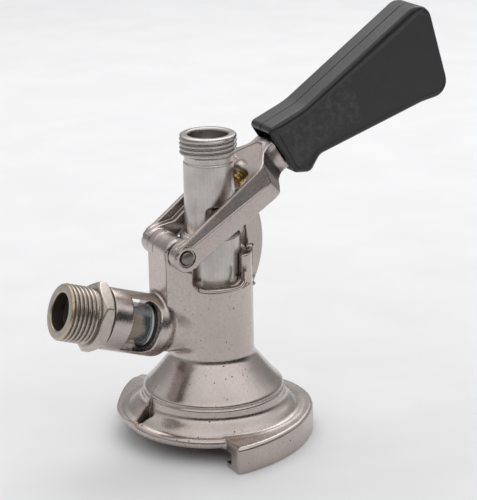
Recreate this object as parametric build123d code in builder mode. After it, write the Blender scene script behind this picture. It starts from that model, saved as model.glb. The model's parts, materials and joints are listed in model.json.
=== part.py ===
"""Slide-on keg coupler with a lever-operated probe, modelled as an assembly of separate parts.

Frame: origin on the probe axis at the base plane, +Z up along the probe, +X towards the
hand lever, Y along the pivot pin.  Millimetres.
"""
from build123d import *
import math
import os

os.makedirs("parts", exist_ok=True)

# ---------------------------------------------------------------- driving dimensions
# base
DISC_R = 37.2           # thin round flange
DISC_Z = 6.5            # its underside
BAND_Z = 10.8           # its flat top band
RIM_R, RIM_Z = 28.4, 21.2   # lower rim of the cone
RAIL_END_X = -12.7      # open end of the horseshoe rail
RAIL_H = 11.2           # rail height
RAIL_WALL = 6.5
LIP_T, LIP_W = 2.0, 10.4    # inward lip under the keg flange
BELL_R, BELL_TOP = 23.5, 15.0
# neck
NECK_R = 16.85
NECK_FOOT_Z = 36.6
GAS_ANNULUS_R = 14.2
GUIDE_R = 12.28
GUIDE_Z = 56.0
WIN_Z = 66.0            # sill of the side windows
WIN_X0, WIN_X1 = -13.5, 7.6
# pivot
PX, PZ = -17.64, 81.2
LX, LZ = -17.64, 82.05   # reference point of the lever arms
PIN_R = 2.75
PIN_END = 16.1
BLOCK_Y = 8.7
BLOCK_R = 5.9
# lever
PHI = 36.4              # arm angle above horizontal, lever up
LEVER_Y = 15.7
ARM_IN = 13.4
RAIL_IN = 10.35
EYE_IN = 9.5
EYE_R = 5.7
LUG_U, LUG_R, LUG_IN = 20.5, 3.0, 8.6
CROTCH_U = 41.5
# quadrant
QUAD_R, QUAD_RI, QUAD_Y = 39.1, 31.6, 5.0
TRACK_R, TRACK_Y = 36.2, 3.2
# lock bolt
BX, BZ, BETA = 13.1, 105.2, 30.0
BOLT_R = 2.5
BARREL_R = 6.7
BARREL_STEP = 18.6
BARREL_R2 = 5.4
BARREL_END = 27.0
ARM_END_D = 51.6
SPRING_BORE_R = 4.0
# probe
TUBE_R, WIDE_R, WIDE_TOP, WIDE_FOOT = 10.1, 12.2, 85.9, 50.0
MOUTH_Z, MOUTH_R, BORE_R = 126.3, 8.0, 7.2
THREAD_R, THREAD_FOOT = 11.4555, 118.7
NECK_LINE_Z = 115.2
NOTCH_Z0, NOTCH_Z1, NOTCH_Y = 90.9, 98.4, 8.3
# gas arm
PSI = 18.47             # slope of the gas arm above horizontal
AZ = 41.35              # height at which its axis meets the probe axis
ARM_R = 12.6
MOUTH_D = 69.9
HEX_D0, HEX_D1, HEX_AF = 52.3, 57.2, 25.4
GLASS_R, GLASS_RI = 8.5, 6.8
GLASS_D0, GLASS_D1 = 31.8, 45.3

cf, sf = math.cos(math.radians(PHI)), math.sin(math.radians(PHI))
cb, sb = math.cos(math.radians(BETA)), math.sin(math.radians(BETA))
cp, sp = math.cos(math.radians(PSI)), math.sin(math.radians(PSI))

XZ = Plane(origin=(0, 0, 0), x_dir=(1, 0, 0), z_dir=(0, -1, 0))       # local (x, z)
XZP = Plane(origin=(PX, 0, PZ), x_dir=(1, 0, 0), z_dir=(0, -1, 0))    # about the pivot, unrotated
LEV = Plane(origin=(LX, 0, LZ), x_dir=(cf, 0, sf), z_dir=(0, -1, 0))  # along the arms
LEVTOP = Plane(origin=(LX, 0, LZ), x_dir=(cf, 0, sf), z_dir=(-sf, 0, cf))  # plan view of the lever
EU = (PX - LX) * cf + (PZ - LZ) * sf      # the pivot in lever coordinates
EV = -(PX - LX) * sf + (PZ - LZ) * cf


def bolt_plane(s):
    """Plane square to the lock bolt, s mm out from its reference point."""
    return Plane(origin=(BX + cb * s, 0, BZ + sb * s), x_dir=(0, 1, 0), z_dir=(cb, 0, sb))


def gas_plane(d):
    """Plane square to the gas arm, d mm out from the probe axis."""
    return Plane(origin=(-cp * d, 0, AZ + sp * d), x_dir=(0, 1, 0), z_dir=(-cp, 0, sp))


GASXZ = Plane(origin=(0, 0, AZ), x_dir=(-cp, 0, sp), z_dir=(0, 1, 0))  # local (d, height)

# ---------------------------------------------------------------- body casting
rail_pts = [(-7.8, -45.9), (-2.8, -45.0), (2.3, -43.8), (7.8, -41.9), (13.9, -39.1), (20.8, -35.0),
            (25.3, -31.3), (30.3, -26.4), (34.7, -21.1), (38.3, -14.4), (40.7, -7.2), (41.4, 0)]
rail_pts = rail_pts + [(x, -y) for x, y in reversed(rail_pts[:-1])]


def rail_outline(inset):
    """Horseshoe outline pulled in by inset, with the y of its open ends."""
    pts = []
    for i, (x, y) in enumerate(rail_pts):
        a = rail_pts[max(i - 1, 0)]
        b = rail_pts[min(i + 1, len(rail_pts) - 1)]
        tx, ty = b[0] - a[0], b[1] - a[1]
        n = math.hypot(tx, ty)
        pts.append((x - ty / n * inset, y + tx / n * inset))
    return pts, pts[0][1]


GA = math.radians(2.5)
GUARD = Plane(origin=(0, 0, 0), x_dir=(-math.cos(GA), -math.sin(GA), 0), z_dir=(-math.sin(GA), math.cos(GA), 0))


def polar(r, a):
    return (r * math.cos(math.radians(a)), r * math.sin(math.radians(a)))


def lev_at(y):
    """Lever side plane at depth y; extrusions run towards -Y."""
    return Plane(origin=(LX, y, LZ), x_dir=(cf, 0, sf), z_dir=(0, -1, 0))


with BuildPart() as body_casting:
    # horseshoe rail and the plate above it
    pts, y0 = rail_outline(0)
    with BuildSketch(Plane.XY) as rail_sk:
        with BuildLine():
            Spline(*pts, tangents=[(1, 0.05), (-1, 0.05)])
            Polyline(pts[0], (RAIL_END_X, y0), (RAIL_END_X, -y0), pts[-1])
        make_face()
    extrude(amount=RAIL_H)
    fillet([e for e in body_casting.edges().filter_by(Axis.Z) if abs(e.center().X - RAIL_END_X) < 0.1], radius=1.3)
    rim = [e for e in body_casting.edges() if abs(e.center().Z - RAIL_H) < 0.01 and e.center().X > RAIL_END_X + 0.01]
    fillet(rim, radius=1.1)
    # turned form: flange, cone and neck
    with BuildSketch(XZ) as turned:
        with BuildLine():
            Line((0, DISC_Z), (DISC_R - 2.15, DISC_Z))
            ThreePointArc((DISC_R - 2.15, DISC_Z), (DISC_R, (DISC_Z + BAND_Z) / 2), (DISC_R - 2.15, BAND_Z))
            Line((DISC_R - 2.15, BAND_Z), (34.5, BAND_Z))
            Line((34.5, BAND_Z), (34.2, BAND_Z + 0.35))
            Spline((34.2, BAND_Z + 0.35), (33.3, 12.55), (32.0, 13.75), (30.9, 14.45), (30.15, 15.0),
                   (29.6, 16.0), (29.35, 17.2))
            Line((29.35, 17.2), (28.55, 19.9))
            Line((28.55, 19.9), (27.95, 20.35))
            ThreePointArc((27.95, 20.35), (28.75, 20.75), (28.35, 21.55))
            Spline((28.35, 21.55), (26.0, 24.6), (23.6, 27.6), (21.4, 30.6), (19.6, 33.1), (18.2, 35.1),
                   (17.35, NECK_FOOT_Z))
            Line((17.35, NECK_FOOT_Z), (NECK_R, 38.2))
            Polyline((NECK_R, 38.2), (NECK_R, 78.0), (0, 78.0), (0, DISC_Z))
        make_face()
    revolve(axis=Axis.Z)
    # thin web that fills the far corner between the rail end and the flange
    with BuildSketch(Plane.XY.offset(9.1)) as web:
        with BuildLine():
            Spline((-36.3, -3.0), (-37.9, 3.0), (-38.1, 8.0), (-37.0, 13.8), (-34.9, 19.7), (-29.1, 29.3), (-23.1, 37.6),
                   (-16.5, 44.2), (-11.5, 45.4))
            Polyline((-11.5, 45.4), (-6.0, 34.0), (-24.0, 0.0), (-36.3, -3.0))
        make_face()
    extrude(amount=1.9)
    with BuildSketch(GUARD) as cover:
        with BuildLine():
            Polyline((27.9, 9.5), (36.4, 9.5), (36.4, 11.0), (29.3, 15.4), (27.9, 15.4), (27.9, 9.5))
        make_face()
    revolve(axis=Axis.Z, revolution_arc=-74)
    # upright fin beside the gas arm, with the pocket in front of it
    with BuildSketch(GUARD) as fin:
        with BuildLine():
            Polyline((36.9, 9.2), (36.9, 11.2), (25.6, 25.0), (24.6, 25.0), (24.6, 9.2), (36.9, 9.2))
        make_face()
    extrude(amount=0.5, both=True)
    with BuildSketch(GUARD.offset(-0.5)) as pocket:
        with BuildLine():
            Polyline((29.8, 10.0), (35.4, 10.0), (35.4, 18.5), (29.8, 18.5), (29.8, 10.0))
        make_face()
    extrude(amount=-3.8, mode=Mode.SUBTRACT)
    # slot for the keg flange, and the opening between the lips
    for inset, z0, h in ((RAIL_WALL, LIP_T, DISC_Z - LIP_T), (LIP_W, -1.0, LIP_T + 1.0)):
        q, yq = rail_outline(inset)
        with BuildSketch(Plane.XY.offset(z0)) as slot_sk:
            with BuildLine():
                Spline(*q, tangents=[(1, 0.05), (-1, 0.05)])
                Polyline(q[0], (-60, yq), (-60, -yq), q[-1])
            make_face()
        extrude(amount=h, mode=Mode.SUBTRACT)
    # upper neck: window, shoulders and trimmed right-hand wall
    with BuildSketch(XZ) as window:
        with Locations(((WIN_X0 + WIN_X1) / 2, WIN_Z + 10)):
            Rectangle(WIN_X1 - WIN_X0, 20)
        fillet(window.vertices().group_by(Axis.Y)[0], radius=4.0)
    extrude(amount=30, both=True, mode=Mode.SUBTRACT)
    with BuildSketch(XZ) as shoulder:
        with Locations((WIN_X0 - 10, 83.5)):
            Rectangle(20.02, 20)
    extrude(amount=30, both=True, mode=Mode.SUBTRACT)
    with BuildSketch(Plane.XY.offset(66.0)) as trims:
        with Locations((18, 23.2), (18, -23.2)):
            Rectangle(30, 20)
    extrude(amount=14, mode=Mode.SUBTRACT)
    # pivot block
    with BuildSketch(XZP) as block:
        with Locations((-0.3, 0)):
            Circle(BLOCK_R)
        with Locations((-0.3, -20)):
            Rectangle(2 * BLOCK_R, 40)
    extrude(amount=BLOCK_Y, both=True)
    # quadrant with its track
    with BuildSketch(XZP) as quad:
        with BuildLine():
            CenterArc((0, 0), QUAD_R, -37, 68)
            CenterArc((0, 0), QUAD_RI, -37, 68)
            Line(polar(QUAD_R, -37), polar(QUAD_RI, -37))
            Line(polar(QUAD_R, 31), polar(QUAD_RI, 31))
        make_face()
        fillet(quad.vertices().group_by(Axis.Y)[-1], radius=1.6)
    extrude(amount=QUAD_Y, both=True)
    with BuildSketch(XZP) as track:
        with BuildLine():
            CenterArc((0, 0), 41.0, -24, 60)
            CenterArc((0, 0), TRACK_R, -24, 60)
            Line(polar(41.0, -24), polar(TRACK_R, -24))
            Line(polar(41.0, 36), polar(TRACK_R, 36))
        make_face()
    extrude(amount=TRACK_Y, both=True, mode=Mode.SUBTRACT)
    NA = math.radians(-9.9)
    with BuildSketch(Plane(origin=(PX + 34.9 * math.cos(NA), 0, PZ + 34.9 * math.sin(NA)), x_dir=(0, 1, 0),
                           z_dir=(math.cos(NA), 0, math.sin(NA)))):
        Circle(3.0)
    extrude(amount=4, mode=Mode.SUBTRACT)
    # gas arm
    with BuildSketch(gas_plane(8)):
        Circle(ARM_R)
    extrude(amount=ARM_END_D - 8)
    with BuildSketch(GASXZ) as sight:
        with Locations((37.3, 0.65)):
            Rectangle(12.0, 20.3)
        fillet(sight.vertices().group_by(Axis.X)[0], radius=4.0)
    extrude(amount=20, both=True, mode=Mode.SUBTRACT)
    for d0, d1, r in ((GLASS_D1 + 0.9, 53.0, 10.5), (31.0, 46.4, 9.0), (6.0, 31.1, 6.0)):
        with BuildSketch(gas_plane(d0)):
            Circle(r)
        extrude(amount=d1 - d0, mode=Mode.SUBTRACT)
    # bell, gas annulus, guide bore with two ring grooves
    with BuildSketch(XZ) as hollow:
        with BuildLine():
            Polyline((0, -1), (BELL_R, -1), (BELL_R, BELL_TOP), (21.0, BELL_TOP), (21.0, 17.0), (15.2, 29.5),
                     (GAS_ANNULUS_R, 31.5), (GAS_ANNULUS_R, GUIDE_Z), (GUIDE_R, GUIDE_Z + 1.0), (GUIDE_R, 57.4),
                     (14.3, 57.4), (14.3, 59.6), (GUIDE_R, 59.6), (GUIDE_R, 61.8), (14.3, 61.8), (14.3, 64.0),
                     (GUIDE_R, 64.0), (GUIDE_R, 87.0), (TUBE_R + 0.4, 88.5), (TUBE_R + 0.4, 104), (0, 104),
                     (0, -1))
        make_face()
    revolve(axis=Axis.Z, mode=Mode.SUBTRACT)
    # pivot hole
    with BuildSketch(XZP):
        Circle(PIN_R)
    extrude(amount=BLOCK_Y + 1, both=True, mode=Mode.SUBTRACT)
body_casting.part.label = "body_casting"
export_step(body_casting.part, "parts/body_casting.step")

# ---------------------------------------------------------------- pivot pin
with BuildPart() as pivot_pin:
    with BuildSketch(Plane(origin=(PX, 0, PZ), x_dir=(1, 0, 0), z_dir=(0, -1, 0))):
        Circle(PIN_R)
    extrude(amount=PIN_END, both=True)
    fillet(pivot_pin.edges().filter_by(GeomType.CIRCLE), radius=0.95)
pivot_pin.part.label = "pivot_pin"
export_step(pivot_pin.part, "parts/pivot_pin.step")

# ---------------------------------------------------------------- lever
with BuildPart() as lever:
    # side form of arms and web
    with BuildSketch(LEV) as side:
        with BuildLine():
            Polyline((0, 4.85), (58.0, 5.3), (58.4, -8.4), (52.5, -7.4), (48.6, -6.6), (45.4, -9.2), (42.5, -9.6),
                     (34.4, -8.9), (0, -6.05), (0, 4.85))
        make_face()
        fillet([v for v in side.vertices() if 40 < v.X < 55 and v.Y < -6], radius=1.5)
        with Locations((EU, EV)):
            Circle(EYE_R)
    extrude(amount=LEVER_Y, both=True)
    # plan form: fork narrowing to the barrel
    with BuildSketch(LEVTOP) as plan:
        with BuildLine():
            Polyline((-8, 15.7), (42.0, 15.7), (45.5, 14.9), (48.0, 12.6), (51.0, 8.8), (53.5, 6.9), (58.5, 6.3),
                     (58.5, -6.3), (53.5, -6.9), (51.0, -8.8), (48.0, -12.6), (45.5, -14.9), (42.0, -15.7),
                     (-8, -15.7), (-8, 15.7))
        make_face()
    extrude(amount=14, both=True, mode=Mode.INTERSECT)
    # barrel for the lock bolt
    with BuildSketch(bolt_plane(6.0)):
        Circle(BARREL_R)
    extrude(amount=BARREL_STEP - 6.0)
    with BuildSketch(bolt_plane(BARREL_STEP - 1.0)):
        Circle(BARREL_R2)
    extrude(amount=BARREL_END - BARREL_STEP + 1.0)
    # slot between the arms
    with BuildSketch(LEVTOP) as slot:
        with Locations(((CROTCH_U - 12) / 2, 0)):
            Rectangle(CROTCH_U + 12, 2 * ARM_IN)
        fillet(slot.vertices().group_by(Axis.X)[-1], radius=6.5)
    extrude(amount=16, both=True, mode=Mode.SUBTRACT)
    # inner rails, eyes and lugs on both arms
    for y_start, y_end, kind in ((-RAIL_IN, -ARM_IN - 0.4, "rail"), (ARM_IN + 0.4, RAIL_IN, "rail"),
                                 (-EYE_IN, -ARM_IN - 0.4, "eye"), (ARM_IN + 0.4, EYE_IN, "eye"),
                                 (-LUG_IN, -ARM_IN - 0.4, "lug"), (ARM_IN + 0.4, LUG_IN, "lug")):
        with BuildSketch(lev_at(y_start)) as inner:
            if kind == "rail":
                with BuildLine():
                    Polyline((-1.9, 5.6), (3.7, 4.4), (9.8, 1.3), (19.8, 1.8), (21.5, -2.6), (8.0, -4.4), (0, -5.9),
                             (-1.9, 5.6))
                make_face()
            elif kind == "eye":
                with Locations((EU, EV)):
                    Circle(EYE_R)
            else:
                with Locations((LUG_U, 0)):
                    Circle(LUG_R)
        extrude(amount=y_start - y_end)
    # flutes along the outer faces
    for y_start, depth in ((-LEVER_Y + 1.0, 1.2), (LEVER_Y + 0.2, 1.2)):
        with BuildSketch(lev_at(y_start)) as flute:
            with BuildLine():
                Polyline((6.5, 3.6), (43.0, 3.9), (44.0, -2.1), (12.5, 0.8), (7.0, 1.3), (6.5, 3.6))
            make_face()
            fillet(flute.vertices(), radius=0.6)
        extrude(amount=depth, mode=Mode.SUBTRACT)
    # pivot holes with shallow counterbores
    with BuildSketch(lev_at(20)):
        with Locations((EU, EV)):
            Circle(PIN_R + 0.06)
    extrude(amount=40, mode=Mode.SUBTRACT)
    for y_start in (-LEVER_Y + 1.1, LEVER_Y + 1):
        with BuildSketch(lev_at(y_start)):
            with Locations((EU, EV)):
                Circle(3.45)
        extrude(amount=2.1, mode=Mode.SUBTRACT)
    # bores for bolt and spring
    with BuildSketch(bolt_plane(0)):
        Circle(BOLT_R + 0.06)
    extrude(amount=60, mode=Mode.SUBTRACT)
    with BuildSketch(bolt_plane(11.5)):
        Circle(SPRING_BORE_R)
    extrude(amount=60, mode=Mode.SUBTRACT)
lever.part.label = "lever"
export_step(lever.part, "parts/lever.step")

# ---------------------------------------------------------------- lock bolt group
with BuildPart() as lock_bolt:
    with BuildSketch(bolt_plane(-1.5)):
        Circle(BOLT_R)
    extrude(amount=78.0)
    chamfer(lock_bolt.edges().filter_by(GeomType.CIRCLE), length=0.5)
    with BuildSketch(bolt_plane(12.0)):
        Circle(SPRING_BORE_R - 0.12)
    extrude(amount=2.4)
    with BuildSketch(Plane(origin=bolt_plane(67.0).origin, x_dir=(1, 0, 0), z_dir=(0, -1, 0))):
        Circle(1.25)
    extrude(amount=5, both=True, mode=Mode.SUBTRACT)
lock_bolt.part.label = "lock_bolt"
export_step(lock_bolt.part, "parts/lock_bolt.step")

with BuildPart() as barrel_plug:
    with BuildSketch(bolt_plane(BARREL_END - 3.0)):
        Circle(SPRING_BORE_R)
        Circle(BOLT_R + 0.06, mode=Mode.SUBTRACT)
    extrude(amount=3.0)
    with BuildSketch(bolt_plane(BARREL_END)):
        Circle(BARREL_R2 - 0.3)
        Circle(BOLT_R + 0.06, mode=Mode.SUBTRACT)
    extrude(amount=1.0)
barrel_plug.part.label = "barrel_plug"
export_step(barrel_plug.part, "parts/barrel_plug.step")

with BuildPart() as lock_spring:
    with BuildLine(Plane.XY) as lock_path:
        Helix(pitch=1.68, height=8.4, radius=3.3)
    with BuildSketch(Plane(origin=lock_path.line @ 0, z_dir=lock_path.line % 0)):
        Circle(0.42)
    sweep()
lock_spring_part = lock_spring.part.moved(bolt_plane(14.9).location)
lock_spring_part.label = "lock_spring"
export_step(lock_spring_part, "parts/lock_spring.step")

with BuildPart() as grip_pin:
    with BuildSketch(Plane(origin=bolt_plane(67.0).origin, x_dir=(1, 0, 0), z_dir=(0, -1, 0))):
        Circle(1.25)
    extrude(amount=6.0, both=True)
grip_pin.part.label = "grip_pin"
export_step(grip_pin.part, "parts/grip_pin.step")

# ---------------------------------------------------------------- grip shells
GRIP_T = 9.0
GRIP_WALL = 2.1
grip_poly = [(22.2, 126.0), (38.7, 133.0), (95.9, 172.7), (108.3, 130.7), (94.5, 128.1), (46.3, 112.7), (42.1, 106.0),
             (34.8, 106.6)]
grip_rad = [2.2, 30.0, 7.0, 6.5, 6.0, 5.0, 3.2, 2.2]


def grip_shell(y_in, y_out):
    """One half shell between y_in (the joint) and y_out (its outer face)."""
    lo, hi = min(y_in, y_out), max(y_in, y_out)
    with BuildPart() as shell:
        with BuildSketch(Plane(origin=(0, hi, 0), x_dir=(1, 0, 0), z_dir=(0, -1, 0))) as outer:
            with BuildLine():
                Polyline(*grip_poly, grip_poly[0])
            make_face()
            for p, r in zip(grip_poly, grip_rad):
                if r:
                    fillet(outer.vertices().sort_by_distance(Vector(p[0], p[1], 0))[0], radius=r)
        extrude(amount=hi - lo)
        face = shell.faces().sort_by(Axis.Y)[0 if y_out < y_in else -1]
        fillet(face.edges(), radius=1.6)
    return shell


for name, y_out in (("grip_shell_front", -GRIP_T), ("grip_shell_rear", GRIP_T)):
    sgn = -1 if y_out < 0 else 1
    shell = grip_shell(0, y_out)
    with BuildPart() as hollowed:
        add(shell.part)
        # cavity, open at the barrel end
        with BuildSketch(XZ) as cav:
            with BuildLine():
                Polyline((26.0, 124.8), (39.4, 131.1), (91.9, 167.6), (102.0, 134.0), (92.6, 130.8), (44.3, 115.6),
                         (39.7, 109.0), (35.0, 109.2), (34.0, 104.0), (19.0, 121.9), (26.0, 124.8))
            make_face()
        extrude(amount=(GRIP_T - GRIP_WALL), both=True, mode=Mode.SUBTRACT)
        # solid seat for bolt and pin
        with BuildSketch(bolt_plane(57.0)):
            with Locations((sgn * 3.6, 0)):
                Rectangle(7.2, 15.0)
        extrude(amount=20.0)
        with BuildSketch(bolt_plane(50.0)):
            Circle(BOLT_R)
        extrude(amount=26.5, mode=Mode.SUBTRACT)
        with BuildSketch(Plane(origin=bolt_plane(67.0).origin, x_dir=(1, 0, 0), z_dir=(0, -1, 0))):
            Circle(1.25)
        extrude(amount=6.0, both=True, mode=Mode.SUBTRACT)
        # keep only this half
        with BuildSketch(Plane.XZ):
            with Locations((60, 130)):
                Rectangle(160, 160)
        extrude(amount=sgn * -20, mode=Mode.INTERSECT)
        # shallow panel inside a raised border on the broad face
        with BuildSketch(Plane(origin=(0, y_out + (0.6 if sgn < 0 else 1.0), 0), x_dir=(1, 0, 0), z_dir=(0, -1, 0))) as panel:
            with BuildLine():
                Polyline((28.5, 124.5), (39.3, 130.5), (90.6, 165.6), (96.5, 164.9), (104.2, 138.5), (99.0, 131.6),
                         (93.4, 130.8), (44.4, 115.5), (40.0, 108.9), (35.9, 109.3), (28.5, 124.5))
            make_face()
            fillet(panel.vertices(), radius=1.5)
        extrude(amount=1.6, mode=Mode.SUBTRACT)
    hollowed.part.label = name
    export_step(hollowed.part, "parts/" + name + ".step")

# ---------------------------------------------------------------- probe
with BuildPart() as probe_tube:
    with BuildSketch(XZ) as probe_sk:
        with BuildLine():
            Polyline((0, 19.5), (8.4, 19.5), (8.4, 29.0), (10.0, 29.0), (10.0, WIDE_FOOT - 1.5), (WIDE_R, WIDE_FOOT),
                     (WIDE_R, WIDE_TOP - 1.0), (WIDE_R - 0.8, WIDE_TOP), (TUBE_R, WIDE_TOP), (TUBE_R, NECK_LINE_Z - 0.3),
                     (TUBE_R - 0.3, NECK_LINE_Z), (9.8, NECK_LINE_Z), (9.8, THREAD_FOOT - 0.8),
                     (THREAD_R, THREAD_FOOT), (THREAD_R, MOUTH_Z - 0.9), (THREAD_R - 0.9, MOUTH_Z), (0, MOUTH_Z),
                     (0, 19.5))
        make_face()
    revolve(axis=Axis.Z)
    # flats that the lever lugs bear in
    with BuildSketch(Plane.XY.offset(NOTCH_Z0)):
        with Locations((0, NOTCH_Y + 5), (0, -NOTCH_Y - 5)):
            Rectangle(30, 10)
    extrude(amount=NOTCH_Z1 - NOTCH_Z0, mode=Mode.SUBTRACT)
    # beer way with ball seat
    with BuildSketch(XZ) as way:
        with BuildLine():
            Polyline((0, 18), (6.0, 18), (6.0, 56.0), (5.0, 57.0), (5.0, 60.0), (BORE_R, 62.4), (BORE_R, 72.5),
                     (7.7, 72.5), (7.7, 73.7), (BORE_R, 73.7), (BORE_R, 117.0), (MOUTH_R, 118.0),
                     (MOUTH_R, MOUTH_Z - 0.4), (MOUTH_R + 0.4, MOUTH_Z + 0.1), (0, MOUTH_Z + 0.1), (0, 18))
        make_face()
    revolve(axis=Axis.Z, mode=Mode.SUBTRACT)
probe_tube.part.label = "probe_tube"
export_step(probe_tube.part, "parts/probe_tube.step")

with BuildPart() as beer_check_ball:
    with BuildSketch(XZ) as ball_sk:
        with BuildLine():
            CenterArc((0, 63.33), 5.9, -90, 180)
            Line((0, 57.43), (0, 69.23))
        make_face()
    revolve(axis=Axis.Z)
beer_check_ball.part.label = "beer_check_ball"
export_step(beer_check_ball.part, "parts/beer_check_ball.step")

with BuildPart() as ball_stop_ring:
    with BuildSketch(Plane.XY.offset(72.5)):
        Circle(7.65)
        Circle(5.2, mode=Mode.SUBTRACT)
        with Locations((0, -7)):
            Rectangle(3.0, 6.0, mode=Mode.SUBTRACT)
    extrude(amount=1.2)
ball_stop_ring.part.label = "ball_stop_ring"
export_step(ball_stop_ring.part, "parts/ball_stop_ring.step")

with BuildPart() as probe_bottom_seal:
    with BuildSketch(XZ):
        with BuildLine():
            Polyline((8.4, 29.0), (12.4, 29.0), (13.0, 27.6), (12.6, 25.2), (11.9, 23.4), (8.4, 23.4), (8.4, 29.0))
        make_face()
    revolve(axis=Axis.Z)
probe_bottom_seal.part.label = "probe_bottom_seal"
export_step(probe_bottom_seal.part, "parts/probe_bottom_seal.step")

with BuildPart() as seal_retainer:
    with BuildSketch(XZ):
        with BuildLine():
            Polyline((8.4, 23.4), (11.2, 23.4), (11.2, 20.6), (10.1, 19.5), (8.4, 19.5), (8.4, 23.4))
        make_face()
    revolve(axis=Axis.Z)
    with BuildSketch(Plane.XY.offset(19.0)):
        with PolarLocations(11.4, 4):
            Rectangle(2.4, 2.4)
    extrude(amount=3.0, mode=Mode.SUBTRACT)
seal_retainer.part.label = "seal_retainer"
export_step(seal_retainer.part, "parts/seal_retainer.step")

# ---------------------------------------------------------------- seals held in the casting
for name, zc in (("shaft_seal_lower", 58.5), ("shaft_seal_upper", 62.9)):
    with BuildPart() as ring:
        with BuildSketch(XZ):
            with Locations((13.28, zc)):
                Circle(1.0)
        revolve(axis=Axis.Z)
    ring.part.label = name
    export_step(ring.part, "parts/" + name + ".step")

with BuildPart() as keg_seal:
    with BuildSketch(XZ):
        with BuildLine():
            Polyline((BELL_R - 0.1, BELL_TOP), (BELL_R - 0.1, 10.4), (22.4, 9.4), (20.6, 9.4), (19.6, 10.6), (16.6, 9.2),
                     (15.6, 10.2), (17.6, 13.2), (17.6, BELL_TOP), (BELL_R - 0.1, BELL_TOP))
        make_face()
    revolve(axis=Axis.Z)
keg_seal.part.label = "keg_seal"
export_step(keg_seal.part, "parts/keg_seal.step")

# ---------------------------------------------------------------- gas side
GAS_AXIS = Axis((0, 0, AZ), (-cp, 0, sp))

with BuildPart() as gas_nipple:
    with BuildSketch(gas_plane(HEX_D0)):
        RegularPolygon(radius=HEX_AF / 2, side_count=6, major_radius=False, rotation=30)
    extrude(amount=HEX_D1 - HEX_D0)
    with BuildSketch(GASXZ) as hexcut:
        with BuildLine():
            Polyline((HEX_D0 - 0.1, 0), (HEX_D0 - 0.1, 13.0), (HEX_D0 + 0.9, 14.6), (HEX_D1 - 1.0, 14.6),
                     (HEX_D1 + 0.1, 12.8), (HEX_D1 + 0.1, 0), (HEX_D0 - 0.1, 0))
        make_face()
    revolve(axis=GAS_AXIS, mode=Mode.INTERSECT)
    with BuildSketch(GASXZ) as nip:
        with BuildLine():
            Polyline((GLASS_D1 + 0.9, 0), (GLASS_D1 + 0.9, 10.4), (HEX_D0 + 1, 10.4), (HEX_D1 - 1, 10.4), (57.7, 10.4),
                     (58.3, THREAD_R), (MOUTH_D - 0.7, THREAD_R), (MOUTH_D, 10.85), (MOUTH_D, 0), (GLASS_D1 + 0.9, 0))
        make_face()
    revolve(axis=GAS_AXIS)
    with BuildSketch(GASXZ) as nipbore:
        with BuildLine():
            Polyline((GLASS_D1, 0), (GLASS_D1, 6.4), (61.0, 6.4), (61.0, 4.0), (63.0, 4.0), (64.0, 7.5),
                     (MOUTH_D - 0.4, 7.5), (MOUTH_D + 0.1, 7.9), (MOUTH_D + 0.1, 0), (GLASS_D1, 0))
        make_face()
    revolve(axis=GAS_AXIS, mode=Mode.SUBTRACT)
gas_nipple.part.label = "gas_nipple"
export_step(gas_nipple.part, "parts/gas_nipple.step")

for name, d0, d1, r0, r1 in (("nipple_gasket", ARM_END_D, HEX_D0, 10.55, 12.3),
                             ("sight_glass", GLASS_D0, GLASS_D1, GLASS_RI, GLASS_R),
                             ("sight_glass_seal_inner", 31.0, GLASS_D0, 6.3, 8.9),
                             ("sight_glass_seal_outer", GLASS_D1, GLASS_D1 + 0.9, 6.9, 8.9)):
    with BuildPart() as ring:
        with BuildSketch(gas_plane(d0)):
            Circle(r1)
            Circle(r0, mode=Mode.SUBTRACT)
        extrude(amount=d1 - d0)
    ring.part.label = name
    export_step(ring.part, "parts/" + name + ".step")

with BuildPart() as gas_check_ball:
    with BuildSketch(GASXZ):
        with BuildLine():
            CenterArc((57.64, 0), 5.2, 0, 180)
            Line((57.64 - 5.2, 0), (57.64 + 5.2, 0))
        make_face()
    revolve(axis=GAS_AXIS)
gas_check_ball.part.label = "gas_check_ball"
export_step(gas_check_ball.part, "parts/gas_check_ball.step")

with BuildPart() as gas_check_spring:
    with BuildLine(Plane.XY) as gas_path:
        Helix(pitch=1.4, height=4.9, radius=3.6)
    with BuildSketch(Plane(origin=gas_path.line @ 0, z_dir=gas_path.line % 0)):
        Circle(0.3)
    sweep()
gas_spring_part = gas_check_spring.part.moved(gas_plane(47.65).location)
gas_spring_part.label = "gas_check_spring"
export_step(gas_spring_part, "parts/gas_check_spring.step")

with BuildPart() as gas_spring_seat:
    with BuildSketch(gas_plane(GLASS_D1 + 1.1)):
        Circle(6.4)
        Circle(2.2, mode=Mode.SUBTRACT)
        with PolarLocations(4.5, 4):
            Circle(1.1, mode=Mode.SUBTRACT)
    extrude(amount=1.0)
gas_spring_seat.part.label = "gas_spring_seat"
export_step(gas_spring_seat.part, "parts/gas_spring_seat.step")
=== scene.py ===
import json, math
import bpy
import numpy as np
from mathutils import Vector, Matrix

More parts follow.
